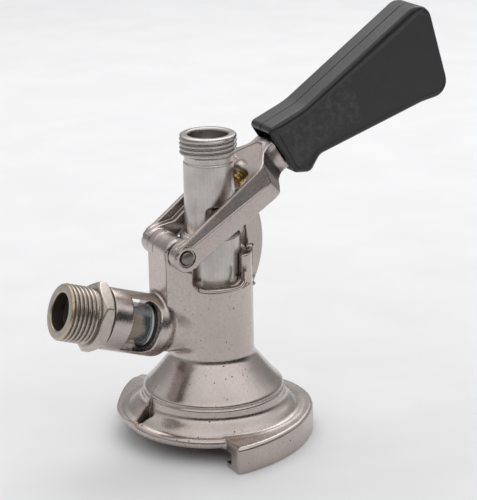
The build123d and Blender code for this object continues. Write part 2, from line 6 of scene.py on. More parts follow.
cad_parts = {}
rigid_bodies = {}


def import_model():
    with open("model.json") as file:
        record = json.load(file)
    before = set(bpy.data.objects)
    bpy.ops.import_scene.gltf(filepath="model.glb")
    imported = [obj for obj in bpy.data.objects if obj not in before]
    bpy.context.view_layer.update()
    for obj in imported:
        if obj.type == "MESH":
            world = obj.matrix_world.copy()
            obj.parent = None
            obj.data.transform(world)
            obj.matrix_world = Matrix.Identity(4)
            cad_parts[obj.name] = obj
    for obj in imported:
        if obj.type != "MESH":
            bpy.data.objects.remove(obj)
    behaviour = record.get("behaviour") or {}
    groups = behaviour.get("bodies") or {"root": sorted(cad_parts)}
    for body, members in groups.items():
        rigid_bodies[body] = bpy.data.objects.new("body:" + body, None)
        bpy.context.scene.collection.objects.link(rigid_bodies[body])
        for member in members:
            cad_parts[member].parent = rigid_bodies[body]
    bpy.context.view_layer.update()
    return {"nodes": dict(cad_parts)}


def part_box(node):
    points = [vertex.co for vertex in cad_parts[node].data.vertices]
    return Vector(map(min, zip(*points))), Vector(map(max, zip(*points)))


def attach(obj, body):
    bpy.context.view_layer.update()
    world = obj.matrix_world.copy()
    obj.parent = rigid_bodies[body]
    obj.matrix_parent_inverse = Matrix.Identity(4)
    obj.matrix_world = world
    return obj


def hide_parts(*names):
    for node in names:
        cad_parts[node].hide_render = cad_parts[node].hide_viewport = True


for _o in list(bpy.data.objects):
    bpy.data.objects.remove(_o, do_unlink=True)
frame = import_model()
nodes = frame["nodes"]


def mm_box(name):
    lo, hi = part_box(name)
    return np.array(lo) * 1000.0, np.array(hi) * 1000.0


# ------------------------------------------------------------------ places taken from the frame, in mm
_lo, _hi = mm_box("pivot_pin")
PX, PZ = float(_lo[0] + _hi[0]) / 2, float(_lo[2] + _hi[2]) / 2
PIN_R, PIN_END = float(_hi[0] - _lo[0]) / 2, float(_hi[1])
_lo, _hi = mm_box("probe_tube")
MOUTH_Z, TUBE_FOOT = float(_hi[2]), float(_lo[2])
WIDE_R = float(_hi[0])
cf, sf = math.cos(math.radians(36.4)), math.sin(math.radians(36.4))       # lever arms
cb, sb = math.cos(math.radians(30.0)), math.sin(math.radians(30.0))       # lock bolt
cp, sp = math.cos(math.radians(18.47)), math.sin(math.radians(18.47))     # gas arm
BX, BZ, AZ = 13.1, 105.2, 41.35
LX, LZ = PX, PZ + 0.85            # reference point of the lever arms
EU, EV = -0.504, -0.684           # the pivot in lever coordinates
LEVER_Y, ARM_IN = 15.7, 13.4
DISC_R, NECK_R = 37.2, 16.85
f4 = np.float32


# ------------------------------------------------------------------ field tools
def rmin(a, b, r):
    """Union with a concave fillet of radius r."""
    return np.maximum(r, np.minimum(a, b)) - np.hypot(np.maximum(r - a, 0), np.maximum(r - b, 0))


def rmax(a, b, r):
    """Intersection with a rounded edge of radius r."""
    return np.minimum(-r, np.maximum(a, b)) + np.hypot(np.maximum(r + a, 0), np.maximum(r + b, 0))


def catmull(pts, n=8):
    pts = np.array(pts, float)
    out = []
    for i in range(len(pts) - 1):
        p0 = pts[max(i - 1, 0)]; p1 = pts[i]; p2 = pts[i + 1]; p3 = pts[min(i + 2, len(pts) - 1)]
        for k in range(n):
            t = k / n
            out.append(0.5 * ((2 * p1) + (-p0 + p2) * t + (2 * p0 - 5 * p1 + 4 * p2 - p3) * t * t
                              + (-p0 + 3 * p1 - 3 * p2 + p3) * t ** 3))
    out.append(pts[-1])
    return [tuple(p) for p in out]


def seg_dist(U, V, a, b):
    ax, ay = a; bx, by = b
    dx, dy = bx - ax, by - ay
    L = dx * dx + dy * dy + 1e-12
    t = np.clip(((U - ax) * dx + (V - ay) * dy) / L, 0, 1)
    return np.hypot(U - ax - t * dx, V - ay - t * dy)


class Tab:
    """Signed distance to a closed outline, kept on a fine grid and read back smoothly."""

    def __init__(self, poly, lo, hi, step=0.2, soft=0.0, line=False):
        self.lo, self.s = lo, step
        nu = int(math.ceil((hi[0] - lo[0]) / step)) + 1
        nv = int(math.ceil((hi[1] - lo[1]) / step)) + 1
        u = (lo[0] + np.arange(nu) * step).astype(f4); v = (lo[1] + np.arange(nv) * step).astype(f4)
        U, V = np.meshgrid(u, v, indexing="ij")
        best = np.full(U.shape, 1e9, f4)
        ins = np.zeros(U.shape, bool)
        n = len(poly)
        for i in range(n - 1 if line else n):
            a, b = poly[i], poly[(i + 1) % n]
            best = np.minimum(best, seg_dist(U, V, a, b))
            if not line and a[1] != b[1]:
                c = ((a[1] > V) != (b[1] > V)) & (U < (b[0] - a[0]) * (V - a[1]) / (b[1] - a[1]) + a[0])
                ins ^= c
        T = np.where(ins, -best, best)
        if soft > 0:
            k = max(1, int(round(3 * soft / step)))
            w = np.exp(-0.5 * (np.arange(-k, k + 1) * step / soft) ** 2); w /= w.sum()
            P = np.pad(T, k, mode="edge")
            Q = sum(w[i] * P[i:i + T.shape[0], :] for i in range(2 * k + 1))
            T = sum(w[i] * Q[:, i:i + T.shape[1]] for i in range(2 * k + 1))
        self.T = np.ascontiguousarray(T, f4).ravel()
        self.nu, self.nv = nu, nv

    def __call__(self, U, V):
        fu = (U - self.lo[0]) / self.s; fv = (V - self.lo[1]) / self.s
        cu = np.clip(fu, 0, self.nu - 1.001); cv = np.clip(fv, 0, self.nv - 1.001)
        iu = cu.astype(np.int32); iv = cv.astype(np.int32)
        tu = (cu - iu).astype(f4); tv = (cv - iv).astype(f4)
        k = iu * self.nv + iv
        T = self.T
        a = T[k]; b = T[k + 1]; c = T[k + self.nv]; d = T[k + self.nv + 1]
        r = (a * (1 - tv) + b * tv) * (1 - tu) + (c * (1 - tv) + d * tv) * tu
        out = np.hypot(fu - cu, fv - cv) * self.s
        return (r + out).astype(f4)


C8 = np.array([[i, j, k] for i in (0, 1) for j in (0, 1) for k in (0, 1)])
E12 = [(a, b) for a in range(8) for b in range(a + 1, 8) if np.abs(C8[a] - C8[b]).sum() == 1]


def run(f, P, chunk=1500000):
    out = np.empty(len(P), f4)
    for i in range(0, len(P), chunk):
        q = P[i:i + chunk]
        out[i:i + chunk] = f(q[:, 0], q[:, 1], q[:, 2])
    return out


def gradient(f, P, e=0.12):
    K = np.array([(1, -1, -1), (-1, -1, 1), (-1, 1, -1), (1, 1, 1)], f4)
    g = np.zeros_like(P); m = np.zeros(len(P), f4)
    for k in K:
        v = run(f, P + k * f4(e))
        g += v[:, None] * k
        m += v
    return g / (4 * e), m / 4


def net(f, lo, hi, h, nb=8):
    """Surface of f = 0 as a net of quads: corners, quads and outward directions, in mm."""
    lo = np.array(lo, float) - h * 1.37; hi = np.array(hi, float) + h
    bs = h * nb
    n2 = np.ceil((hi - lo) / (2 * bs)).astype(int)
    big = np.stack(np.meshgrid(*[np.arange(k) for k in n2], indexing="ij"), -1).reshape(-1, 3)
    v = run(f, (lo + (big + 0.5) * 2 * bs).astype(f4))
    big = big[np.abs(v) < 2 * bs * 0.87 * 1.3 + 0.4]
    sub = (big[:, None, :] * 2 + C8[None]).reshape(-1, 3)
    v = run(f, (lo + (sub + 0.5) * bs).astype(f4))
    blocks = sub[np.abs(v) < bs * 0.87 * 1.3 + 0.3]
    N = nb + 1
    loc = np.stack(np.meshgrid(np.arange(N), np.arange(N), np.arange(N), indexing="ij"), -1).reshape(-1, 3)
    dims = (2 * n2 * nb + 2).astype(np.int64)
    keys, pts, quads = [], [], []

    def key(c):
        return (c[:, 0] * dims[1] + c[:, 1]) * dims[2] + c[:, 2]

    for i in range(0, len(blocks), 1200):
        bl = blocks[i:i + 1200]
        base = bl[:, None, :] * nb
        P = (lo + (base + loc[None]) * h).reshape(-1, 3).astype(f4)
        V = run(f, P).reshape(len(bl), N, N, N)
        S = V < 0
        s = np.zeros((len(bl), nb, nb, nb), np.int8)
        for a, b, c in C8:
            s += S[:, a:a + nb, b:b + nb, c:c + nb]
        act = np.argwhere((s > 0) & (s < 8))
        if len(act) == 0:
            continue
        bi = act[:, 0]; c = act[:, 1:]
        vals = np.stack([V[bi, c[:, 0] + o[0], c[:, 1] + o[1], c[:, 2] + o[2]] for o in C8], 1)
        acc = np.zeros((len(act), 3)); cnt = np.zeros(len(act))
        for a, b in E12:
            va, vb = vals[:, a], vals[:, b]
            m = (va < 0) != (vb < 0)
            t = np.where(m, va / np.where(m, va - vb, 1), 0)
            acc += np.where(m[:, None], C8[a] + t[:, None] * (C8[b] - C8[a]), 0)
            cnt += m
        g = (bl[bi] * nb + c).astype(np.int64)
        keys.append(key(g))
        pts.append(lo + (g + acc / cnt[:, None]) * h)
        G = (bl * nb).astype(np.int64)
        for ax in range(3):
            o1, o2 = (ax + 1) % 3, (ax + 2) % 3
            sl = [slice(0, nb)] * 3
            st = list(sl); st[ax] = slice(1, nb + 1)
            A = S[(slice(None),) + tuple(sl)]; B = S[(slice(None),) + tuple(st)]
            q = np.argwhere(A != B)
            if len(q) == 0:
                continue
            cc = G[q[:, 0]] + q[:, 1:]
            fwd = A[tuple(q.T)]
            e1 = np.zeros(3, np.int64); e1[o1] = 1
            e2 = np.zeros(3, np.int64); e2[o2] = 1
            ring = np.stack([key(cc - e1 - e2), key(cc - e2), key(cc), key(cc - e1)], 1)
            ring[~fwd] = ring[~fwd][:, ::-1]
            quads.append(ring)
    keys = np.concatenate(keys); pts = np.concatenate(pts).astype(f4); quads = np.concatenate(quads)
    order = np.argsort(keys); ks = keys[order]; pts = pts[order]
    idx = np.searchsorted(ks, quads)
    idx = np.minimum(idx, len(ks) - 1)
    good = (ks[idx] == quads).all(1)
    idx = idx[good]
    for _ in range(3):
        g, m = gradient(f, pts, e=min(0.12, h * 0.3))
        L = np.sqrt((g * g).sum(1)) + 1e-6
        step = np.clip(m / L, -0.35 * h, 0.35 * h)
        pts = pts - g / L[:, None] * step[:, None]
    g, m = gradient(f, pts, e=min(0.12, h * 0.3))
    nr = g / (np.sqrt((g * g).sum(1)) + 1e-9)[:, None]
    return pts, idx, nr


def new_mesh(name, pts, quads, normals=None, smooth=True):
    me = bpy.data.meshes.new(name)
    me.vertices.add(len(pts))
    me.vertices.foreach_set("co", (np.asarray(pts, f4) * f4(0.001)).ravel())
    k = quads.shape[1]
    me.loops.add(quads.size)
    me.loops.foreach_set("vertex_index", quads.astype(np.int32).ravel())
    me.polygons.add(len(quads))
    me.polygons.foreach_set("loop_start", np.arange(len(quads), dtype=np.int32) * k)
    me.polygons.foreach_set("use_smooth", np.full(len(quads), smooth))
    me.update(calc_edges=True)
    me.validate()
    if normals is not None and len(me.vertices) == len(normals):
        me.normals_split_custom_set_from_vertices([tuple(map(float, n)) for n in normals])
    ob = bpy.data.objects.new(name, me)
    bpy.context.scene.collection.objects.link(ob)
    return ob


def field_piece(name, f, lo, hi, h):
    p, q, n = net(f, lo, hi, h)
    return new_mesh(name, p, q, n)




def rounded(poly, rad, n=5):
    """Outline with its corners rounded to the radii in rad."""
    out = []
    k = len(poly)
    for i in range(k):
        p0, p1, p2 = (np.array(poly[(i + j) % k], float) for j in (-1, 0, 1))
        a, b = p0 - p1, p2 - p1
        a /= np.hypot(*a); b /= np.hypot(*b)
        half = math.acos(max(-1, min(1, float(a @ b)))) / 2
        r = rad[i] if isinstance(rad, (list, tuple)) else rad
        if r <= 0 or half > 1.56:
            out.append(tuple(p1)); continue
        t = r / math.tan(half)
        c = p1 + (a + b) / np.hypot(*(a + b)) * r / math.sin(half)
        s, e = p1 + a * t - c, p1 + b * t - c
        for j in range(n + 1):
            w = s * (1 - j / n) + e * (j / n)
            out.append(tuple(c + w / np.hypot(*w) * r))
    return out


def arc(cx, cz, r, a0, a1, n=8):
    return [(cx + r * math.cos(math.radians(a0 + (a1 - a0) * i / n)), cz + r * math.sin(math.radians(a0 + (a1 - a0) * i / n)))
            for i in range(n + 1)]


def dress(ob, f, pts, nr):
    """Keeps on each vertex how deep it sits in a hollow and how sharp the edge under it is, for the materials."""
    for name, d in (("cav", 2.2), ("edge", -0.9)):
        v = run(f, (pts + nr * d).astype(f4)) / d
        a = np.clip(1 - v, 0, 1).astype(f4)
        if len(ob.data.vertices) == len(a):
            at = ob.data.attributes.new(name, 'FLOAT', 'POINT')
            at.data.foreach_set("value", a)


def field_piece(name, f, lo, hi, h, body, slot, replaces, mat):
    p, q, n = net(f, lo, hi, h)
    ob = new_mesh(name, p, q, n)
    dress(ob, f, p, n)
    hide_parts(*replaces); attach(ob, body)
    ob.data.materials.append(mat)
    return ob


# ------------------------------------------------------------------ materials
class Mat:
    """A node material written as short calls; coordinates are the object's own, in mm."""

    def __init__(self, name, **const):
        self.m = bpy.data.materials.new(name)
        self.m.use_nodes = True
        self.t = self.m.node_tree
        self.b = self.t.nodes["Principled BSDF"]
        for k, v in const.items():
            self.b.inputs[k.replace("_", " ")].default_value = v
        tc = self.t.nodes.new("ShaderNodeTexCoord")
        self.co = self.vec('SCALE', tc.outputs["Object"], s=1000.0)

    def put(self, sock, val):
        if hasattr(val, "is_output") or isinstance(val, bpy.types.NodeSocket):
            self.t.links.new(val, sock)
        else:
            sock.default_value = val

    def vec(self, op, a, b=None, s=None):
        n = self.t.nodes.new("ShaderNodeVectorMath"); n.operation = op
        self.put(n.inputs[0], a)
        if b is not None:
            self.put(n.inputs[1], b)
        if s is not None:
            self.put(n.inputs["Scale"], s)
        return n.outputs["Value"] if op in ('DOT_PRODUCT', 'LENGTH') else n.outputs["Vector"]

    def math(self, op, a, b=0.0, c=0.0, clamp=False):
        n = self.t.nodes.new("ShaderNodeMath"); n.operation = op; n.use_clamp = clamp
        self.put(n.inputs[0], a); self.put(n.inputs[1], b); self.put(n.inputs[2], c)
        return n.outputs[0]

    def noise(self, scale, detail=3.0, rough=0.55, co=None, dist=0.0):
        n = self.t.nodes.new("ShaderNodeTexNoise")
        self.put(n.inputs["Vector"], self.co if co is None else co)
        n.inputs["Scale"].default_value = scale; n.inputs["Detail"].default_value = detail
        n.inputs["Roughness"].default_value = rough; n.inputs["Distortion"].default_value = dist
        return n.outputs[0]

    def cells(self, scale, co=None, feature='F1'):
        n = self.t.nodes.new("ShaderNodeTexVoronoi"); n.feature = feature
        self.put(n.inputs["Vector"], self.co if co is None else co)
        n.inputs["Scale"].default_value = scale
        return n.outputs["Distance"], n.outputs["Color"]

    def stretch(self, v):
        return self.vec('MULTIPLY', self.co, v)

    def range(self, x, a, b, c=0.0, d=1.0, smooth=True):
        n = self.t.nodes.new("ShaderNodeMapRange")
        n.interpolation_type = 'SMOOTHSTEP' if smooth else 'LINEAR'
        self.put(n.inputs["Value"], x)
        n.inputs["From Min"].default_value = a; n.inputs["From Max"].default_value = b
        n.inputs["To Min"].default_value = c; n.inputs["To Max"].default_value = d
        return n.outputs[0]

    def mix(self, f, a, b, blend='MIX'):
        n = self.t.nodes.new("ShaderNodeMix"); n.data_type = 'RGBA'; n.blend_type = blend
        self.put(n.inputs[0], f)
        self.put(n.inputs[6], a if not isinstance(a, tuple) else (a + (1,))[:4])
        self.put(n.inputs[7], b if not isinstance(b, tuple) else (b + (1,))[:4])
        return n.outputs[2]

    def attr(self, name):
        n = self.t.nodes.new("ShaderNodeAttribute"); n.attribute_name = name
        return n.outputs["Fac"]

    def bump(self, height, strength, dist, normal=None):
        n = self.t.nodes.new("ShaderNodeBump")
        n.inputs["Strength"].default_value = strength; n.inputs["Distance"].default_value = dist * 0.001
        self.put(n.inputs["Height"], height)
        if normal is not None:
            self.put(n.inputs["Normal"], normal)
        return n.outputs[0]

    def set(self, **k):
        for a, v in k.items():
            if isinstance(v, tuple) and len(v) == 3:
                v = v + (1,)
            self.put(self.b.inputs[a.replace("_", " ")], v)
        return self.m


def nickel(name, tint=(0.52, 0.457, 0.43), rough=0.27, pits=1.0, hollow_shade_amount=0.8, brass=1.0, brush=None):
    """Nickel plate on cast or turned brass: satin, pitted, with painted shade in the hollows, rubbed through on edges.
    """
    M = Mat(name, Metallic=1.0)
    big = M.noise(0.055, 2.0)
    fine = M.noise(0.9, 4.0, 0.6)
    grain = M.noise(3.2, 2.0)
    cav, edge = M.attr("cav"), M.attr("edge")
    col = M.mix(M.range(big, 0.3, 0.7), tuple(c * 0.93 for c in tint), tuple(min(1, c * 1.05) for c in tint))
    col = M.mix(M.range(fine, 0.35, 0.75, 0, 0.22), col, tuple(c * 0.72 for c in tint))
    # painted shade in the hollows, darker the deeper the hollow, broken up by noise
    hollow_shade = M.math('MULTIPLY', M.range(cav, 0.12, 0.72), M.range(M.noise(0.32, 4.0, 0.65), 0.3, 0.6, 0.45, 1.0))
    col = M.mix(M.math('MULTIPLY', hollow_shade, hollow_shade_amount), col, (0.17, 0.135, 0.12))
    # pin-holes in the plate
    d1, c1 = M.cells(0.42)
    keep = M.range(M.noise(0.13, 2.0), 0.5, 0.66)
    pit = M.math('MULTIPLY', M.range(d1, 0.10, 0.17, 1.0, 0.0), keep)
    d2, c2 = M.cells(1.05)
    pit2 = M.math('MULTIPLY', M.range(d2, 0.10, 0.20, 1.0, 0.0), M.range(M.noise(0.21, 3.0), 0.53, 0.64))
    pit = M.math('MULTIPLY', M.math('MAXIMUM', pit, M.math('MULTIPLY', pit2, 0.7)), pits, clamp=True)
    col = M.mix(pit, col, (0.13, 0.10, 0.085))
    # brass showing on rubbed edges
    rub = M.math('MULTIPLY', M.range(edge, 0.42, 0.8), M.range(M.noise(0.16, 4.0, 0.6), 0.52, 0.68))
    col = M.mix(M.math('MULTIPLY', rub, 0.75 * brass, clamp=True), col, (0.50, 0.35, 0.19))
    # handling scratches
    sc = M.noise(1.0, 2.0, 0.5, M.stretch((0.25, 0.3, 3.4)), 0.4)
    scr = M.range(M.math('ABSOLUTE', M.math('SUBTRACT', sc, 0.5)), 0.0, 0.012, 1.0, 0.0)
    scr = M.math('MULTIPLY', scr, M.range(M.noise(0.1, 2.0), 0.5, 0.65))
    col = M.mix(M.math('MULTIPLY', scr, 0.35), col, tuple(min(1, c * 1.25) for c in tint))
    r = M.math('ADD', M.range(big, 0.25, 0.75, rough - 0.04, rough + 0.06), M.range(fine, 0.3, 0.8, 0, 0.08))
    r = M.math('ADD', r, M.math('MULTIPLY', M.math('MAXIMUM', hollow_shade, pit), 0.28), clamp=True)
    nb = M.bump(M.noise(0.16, 2.0), 0.35, 0.16)
    nb = M.bump(grain, 0.18, 0.03, nb)
    nb = M.bump(M.math('SUBTRACT', 1.0, pit), 0.6, 0.12, nb)
    if brush:
        br = M.noise(1.0, 3.0, 0.6, M.stretch(brush))
        nb = M.bump(br, 0.35, 0.04, nb)
        r = M.math('ADD', r, M.range(br, 0.3, 0.7, -0.03, 0.06), clamp=True)
        col = M.mix(M.range(br, 0.45, 0.75, 0, 0.28), col, tuple(c * 0.7 for c in tint))
    return M.set(Base_Color=col, Roughness=r, Normal=nb)


def steel(name, tint=(0.58, 0.545, 0.515), rough=0.24, brush=(2.6, 2.6, 0.06), dark=0.0, bright=True):
    """Stainless or spring steel with fine brushing and light marks."""
    M = Mat(name, Metallic=1.0)
    br = M.noise(1.0, 4.0, 0.6, M.stretch(brush))
    big = M.noise(0.12, 3.0)
    cav = M.attr("cav")
    col = M.mix(M.range(big, 0.35, 0.7), tint, tuple(c * 0.86 for c in tint))
    col = M.mix(M.range(br, 0.4, 0.75, 0, 0.16), col, tuple(c * 0.68 for c in tint))
    sp, _ = M.cells(0.8)
    spot = M.math('MULTIPLY', M.range(sp, 0.06, 0.16, 1, 0), M.range(M.noise(0.2, 2.0), 0.52, 0.62))
    col = M.mix(M.math('MULTIPLY', spot, 0.6), col, (0.2, 0.17, 0.15))
    # painted shade: darker in the hollows
    col = M.mix(M.range(cav, 0.3, 0.95, 0, 0.5), col, (0.16, 0.14, 0.13))
    if dark > 0:
        col = M.mix(dark, col, (0.06, 0.05, 0.045))
    r = M.math('ADD', M.range(big, 0.3, 0.7, rough, rough + 0.08), M.range(br, 0.3, 0.75, -0.02, 0.09))
    nb = M.bump(br, 0.12, 0.025)
    nb = M.bump(M.noise(0.3, 2.0), 0.18, 0.10, nb)
    return M.set(Base_Color=col, Roughness=r, Normal=nb)


def plastic(name):
    """Black satin moulding with fine grain, rubbed on its edges, with hair scratches."""
    M = Mat(name, Specular_IOR_Level=0.62)
    big = M.noise(0.06, 3.0)
    fine = M.noise(1.4, 4.0, 0.65)
    edge, cav = M.attr("edge"), M.attr("cav")
    col = M.mix(M.range(big, 0.3, 0.7), (0.0105, 0.0105, 0.0125), (0.017, 0.0168, 0.0185))
    wear = M.math('MULTIPLY', M.range(edge, 0.35, 0.8), M.range(M.noise(0.35, 4.0, 0.65), 0.42, 0.65))
    col = M.mix(M.math('MULTIPLY', wear, 0.55), col, (0.085, 0.083, 0.085))
    sc = M.noise(1.0, 2.0, 0.5, M.stretch((0.10, 1.0, 1.5)), 0.7)
    scr = M.range(M.math('ABSOLUTE', M.math('SUBTRACT', sc, 0.5)), 0.0, 0.008, 1.0, 0.0)
    scr = M.math('MULTIPLY', scr, M.range(M.noise(0.07, 2.0), 0.47, 0.62))
    col = M.mix(M.math('MULTIPLY', scr, 0.5), col, (0.06, 0.06, 0.065))
    dust = M.math('MULTIPLY', M.range(fine, 0.56, 0.72), M.range(M.noise(0.09, 2.0), 0.4, 0.65))
    col = M.mix(M.math('MULTIPLY', dust, 0.22), col, (0.07, 0.07, 0.07))
    # painted shade: near black in the hollows
    col = M.mix(M.range(cav, 0.2, 0.8, 0, 0.75), col, (0.003, 0.003, 0.003))
    r = M.math('ADD', M.range(big, 0.3, 0.7, 0.30, 0.40), M.range(fine, 0.3, 0.75, -0.03, 0.09))
    nb = M.bump(M.noise(2.6, 3.0, 0.6), 0.16, 0.05)
    nb = M.bump(M.noise(0.11, 2.0), 0.25, 0.12, nb)
    nb = M.bump(scr, 0.25, 0.02, nb)
    return M.set(Base_Color=col, Roughness=r, Normal=nb)


def rubber(name, tint=(0.02, 0.02, 0.021)):
    M = Mat(name)
    n = M.noise(0.7, 4.0, 0.65)
    col = M.mix(M.range(n, 0.3, 0.75), tint, tuple(min(1, c * 2.2) for c in tint))
    return M.set(Base_Color=col, Roughness=M.range(n, 0.3, 0.7, 0.55, 0.72), Normal=M.bump(M.noise(2.2, 3.0), 0.3, 0.06))


def brass(name):
    M = Mat(name, Metallic=1.0)
    n = M.noise(0.5, 4.0, 0.65)
    rings = M.noise(1.0, 2.0, 0.5, M.stretch((1.6, 1.6, 1.6)))
    col = M.mix(M.range(n, 0.32, 0.7), (0.62, 0.42, 0.15), (0.36, 0.23, 0.085))
    # painted shade: dark in the hollows
    col = M.mix(M.range(M.attr("cav"), 0.15, 0.7, 0, 0.85), col, (0.05, 0.035, 0.015))
    col = M.mix(M.range(rings, 0.56, 0.66, 0, 0.5), col, (0.11, 0.07, 0.03))
    return M.set(Base_Color=col, Roughness=M.range(n, 0.3, 0.7, 0.26, 0.42), Normal=M.bump(n, 0.3, 0.08))


def glass(name):
    """Clear tube, tea-stained on its inner wall towards the nipple, with painted shade (dark blue-grey) further in,
    painted light low down, and painted highlights along its top and on its inner end rim.
    """
    M = Mat(name, IOR=1.47)
    sp3 = M.t.nodes.new("ShaderNodeSeparateXYZ"); M.t.links.new(M.co, sp3.inputs[0])
    rel = M.vec('SUBTRACT', M.co, (0.0, 0.0, AZ))
    d = M.vec('DOT_PRODUCT', rel, (-cp, 0.0, sp))
    h = M.vec('DOT_PRODUCT', rel, (sp, 0.0, cp))
    rho = M.math('SQRT', M.math('ADD', M.math('POWER', sp3.outputs[1], 2.0), M.math('POWER', h, 2.0)))
    inner = M.range(rho, 7.1, 7.4, 1.0, 0.0)
    n = M.noise(0.8, 4.0, 0.65)
    dd = M.math('ADD', d, M.math('MULTIPLY', M.math('SUBTRACT', M.noise(0.3, 3.0), 0.5), 4.0))
    edge_d = M.math('ADD', 36.0, M.math('MULTIPLY', M.math('POWER', M.math('SUBTRACT', h, 0.6), 2.0), 0.05))
    tan = M.range(M.math('SUBTRACT', dd, edge_d), -0.35, 0.5)
    # painted shade: dark blue-grey where the tube looks into the bore
    painted_inner_shade = M.mix(M.range(M.noise(0.35, 3.0, 0.6), 0.38, 0.62), (0.03, 0.035, 0.04), (0.15, 0.17, 0.18))
    # painted light: lighter on the lower part of the tube
    painted_inner_shade = M.mix(M.range(h, -4.0, -6.2), painted_inner_shade, (0.22, 0.20, 0.18))
    tea = M.mix(M.range(n, 0.35, 0.7), (0.46, 0.40, 0.33), (0.36, 0.30, 0.22))
    col = M.mix(tan, painted_inner_shade, tea)
    # painted highlight: light grey band along the top of the tube
    top_highlight = M.range(M.math('ADD', h, M.math('MULTIPLY', n, 1.5)), 5.6, 6.6)
    col = M.mix(top_highlight, col, (0.42, 0.42, 0.43))
    # painted highlight: near white on the inner end rim, which is also made less clear
    rim_highlight = M.range(d, 33.0, 32.8)
    col = M.mix(rim_highlight, col, (0.75, 0.76, 0.76))
    alpha = M.math('ADD', M.math('MULTIPLY', inner, 0.5), M.range(n, 0.35, 0.75, 0.42, 0.60))
    alpha = M.math('MAXIMUM', alpha, M.math('MULTIPLY', rim_highlight, 0.8), clamp=True)
    return M.set(Base_Color=col, Alpha=alpha, Roughness=M.range(n, 0.35, 0.75, 0.05, 0.20), Normal=M.bump(M.noise(0.4, 2.0), 0.3, 0.2))


def nipple_mat(name):
    """Turned nickel on brass, rubbed through on the first crests, with painted shade inside the bore and in the
    hollows.
    """
    M = Mat(name, Metallic=1.0)
    tint = (0.54, 0.485, 0.44)
    sp3 = M.t.nodes.new("ShaderNodeSeparateXYZ"); M.t.links.new(M.co, sp3.inputs[0])
    rel = M.vec('SUBTRACT', M.co, (0.0, 0.0, AZ))
    d = M.vec('DOT_PRODUCT', rel, (-cp, 0.0, sp))
    h = M.vec('DOT_PRODUCT', rel, (sp, 0.0, cp))
    rho = M.math('SQRT', M.math('ADD', M.math('POWER', sp3.outputs[1], 2.0), M.math('POWER', h, 2.0)))
    fine = M.noise(0.9, 4.0, 0.6); big = M.noise(0.09, 3.0)
    cav, edge = M.attr("cav"), M.attr("edge")
    col = M.mix(M.range(big, 0.3, 0.7), tint, tuple(c * 0.88 for c in tint))
    col = M.mix(M.range(fine, 0.4, 0.75, 0, 0.3), col, tuple(c * 0.66 for c in tint))
    wear = M.math('MULTIPLY', M.range(d, 66.9, 69.2), M.range(M.math('ABSOLUTE', M.math('SUBTRACT', rho, 11.0)), 0.1, 0.9, 1.0, 0.0))
    wear = M.math('MULTIPLY', wear, M.range(M.noise(0.35, 3.0), 0.3, 0.62, 0.25, 1.0))
    lip = M.math('MULTIPLY', M.range(rho, 7.75, 8.3, 1.0, 0.0), M.range(d, 69.0, 69.6))
    wear = M.math('MAXIMUM', wear, lip)
    wear = M.math('MAXIMUM', wear, M.math('MULTIPLY', M.range(edge, 0.5, 0.85), M.range(M.noise(0.2, 4.0), 0.55, 0.68, 0, 0.7)))
    col = M.mix(M.math('MULTIPLY', wear, 0.72), col, (0.58, 0.44, 0.25))
    pd, pc = M.cells(0.36)
    pit = M.math('MULTIPLY', M.range(pd, 0.07, 0.13, 1, 0), M.range(M.noise(0.17, 2.0), 0.52, 0.6))
    far = M.range(d, 58.0, 60.5, 0.25, 1.0)
    stain = M.math('MULTIPLY', M.range(M.noise(0.22, 3.0, 0.6), 0.60, 0.70), M.range(cav, 0.0, 0.4, 0.25, 0.75))
    stain = M.math('MULTIPLY', stain, far)
    cav = M.math('MULTIPLY', cav, far)
    pit = M.math('MULTIPLY', pit, far)
    col = M.mix(stain, col, (0.24, 0.17, 0.12))
    col = M.mix(pit, col, (0.08, 0.06, 0.05))
    # painted shade in the hollows, weaker towards the hex face
    col = M.mix(M.range(cav, 0.25, 0.85, 0, 0.62), col, (0.20, 0.165, 0.14))
    # painted shade: near black inside the bore mouth, which is also rougher
    shaded_bore = M.math('MULTIPLY', M.range(rho, 7.55, 7.9, 1, 0), M.range(d, 69.3, 69.75, 1, 0))
    col = M.mix(M.math('MULTIPLY', shaded_bore, 0.86), col, (0.055, 0.042, 0.036))
    r = M.math('ADD', M.range(big, 0.3, 0.7, 0.24, 0.33), M.range(fine, 0.3, 0.8, 0, 0.10))
    r = M.math('ADD', r, M.math('MULTIPLY', shaded_bore, 0.25), clamp=True)
    nb = M.bump(M.noise(2.4, 3.0), 0.2, 0.04)
    nb = M.bump(M.math('SUBTRACT', 1.0, pit), 0.5, 0.1, nb)
    return M.set(Base_Color=col, Roughness=r, Normal=nb)


m_cast = nickel("nickel_cast", rough=0.20)
m_lever = nickel("nickel_lever", rough=0.23, pits=0.35, hollow_shade_amount=0.75, brass=0.35, brush=(0.55, 3.2, 3.2))
m_probe = steel("stainless_brushed")
m_pin = steel("pin_dark", (0.30, 0.265, 0.24), 0.33, (1.2, 1.2, 1.2), 0.15)
m_nip = nipple_mat("nickel_turned")
m_grip = plastic("grip_black")
m_brass = brass("bolt_brass")
m_glass = glass("sight_clear")
m_rub = rubber("seal_rubber")
m_gask = rubber("gasket_brown", (0.05, 0.038, 0.03))
m_spring = steel("spring_steel", (0.45, 0.43, 0.41), 0.3, (1.5, 1.5, 1.5))
m_ball = steel("ball_steel", (0.68, 0.66, 0.64), 0.12, (0.6, 0.6, 0.6))
m_ins = rubber("insert_plastic", (0.55, 0.54, 0.50))

# ------------------------------------------------------------------ body casting
rail_pts = [(-7.8, -45.9), (-2.8, -45.0), (2.3, -43.8), (7.8, -41.9), (13.9, -39.1), (20.8, -35.0),
            (25.3, -31.3), (30.3, -26.4), (34.7, -21.1), (38.3, -14.4), (40.7, -7.2), (41.4, 0)]
rail_pts = rail_pts + [(x, -y) for x, y in reversed(rail_pts[:-1])]
T_rail = Tab([(-62, -45.9)] + catmull(rail_pts, 4) + [(-62, 45.9)], (-50, -48), (43, 48), 0.25)

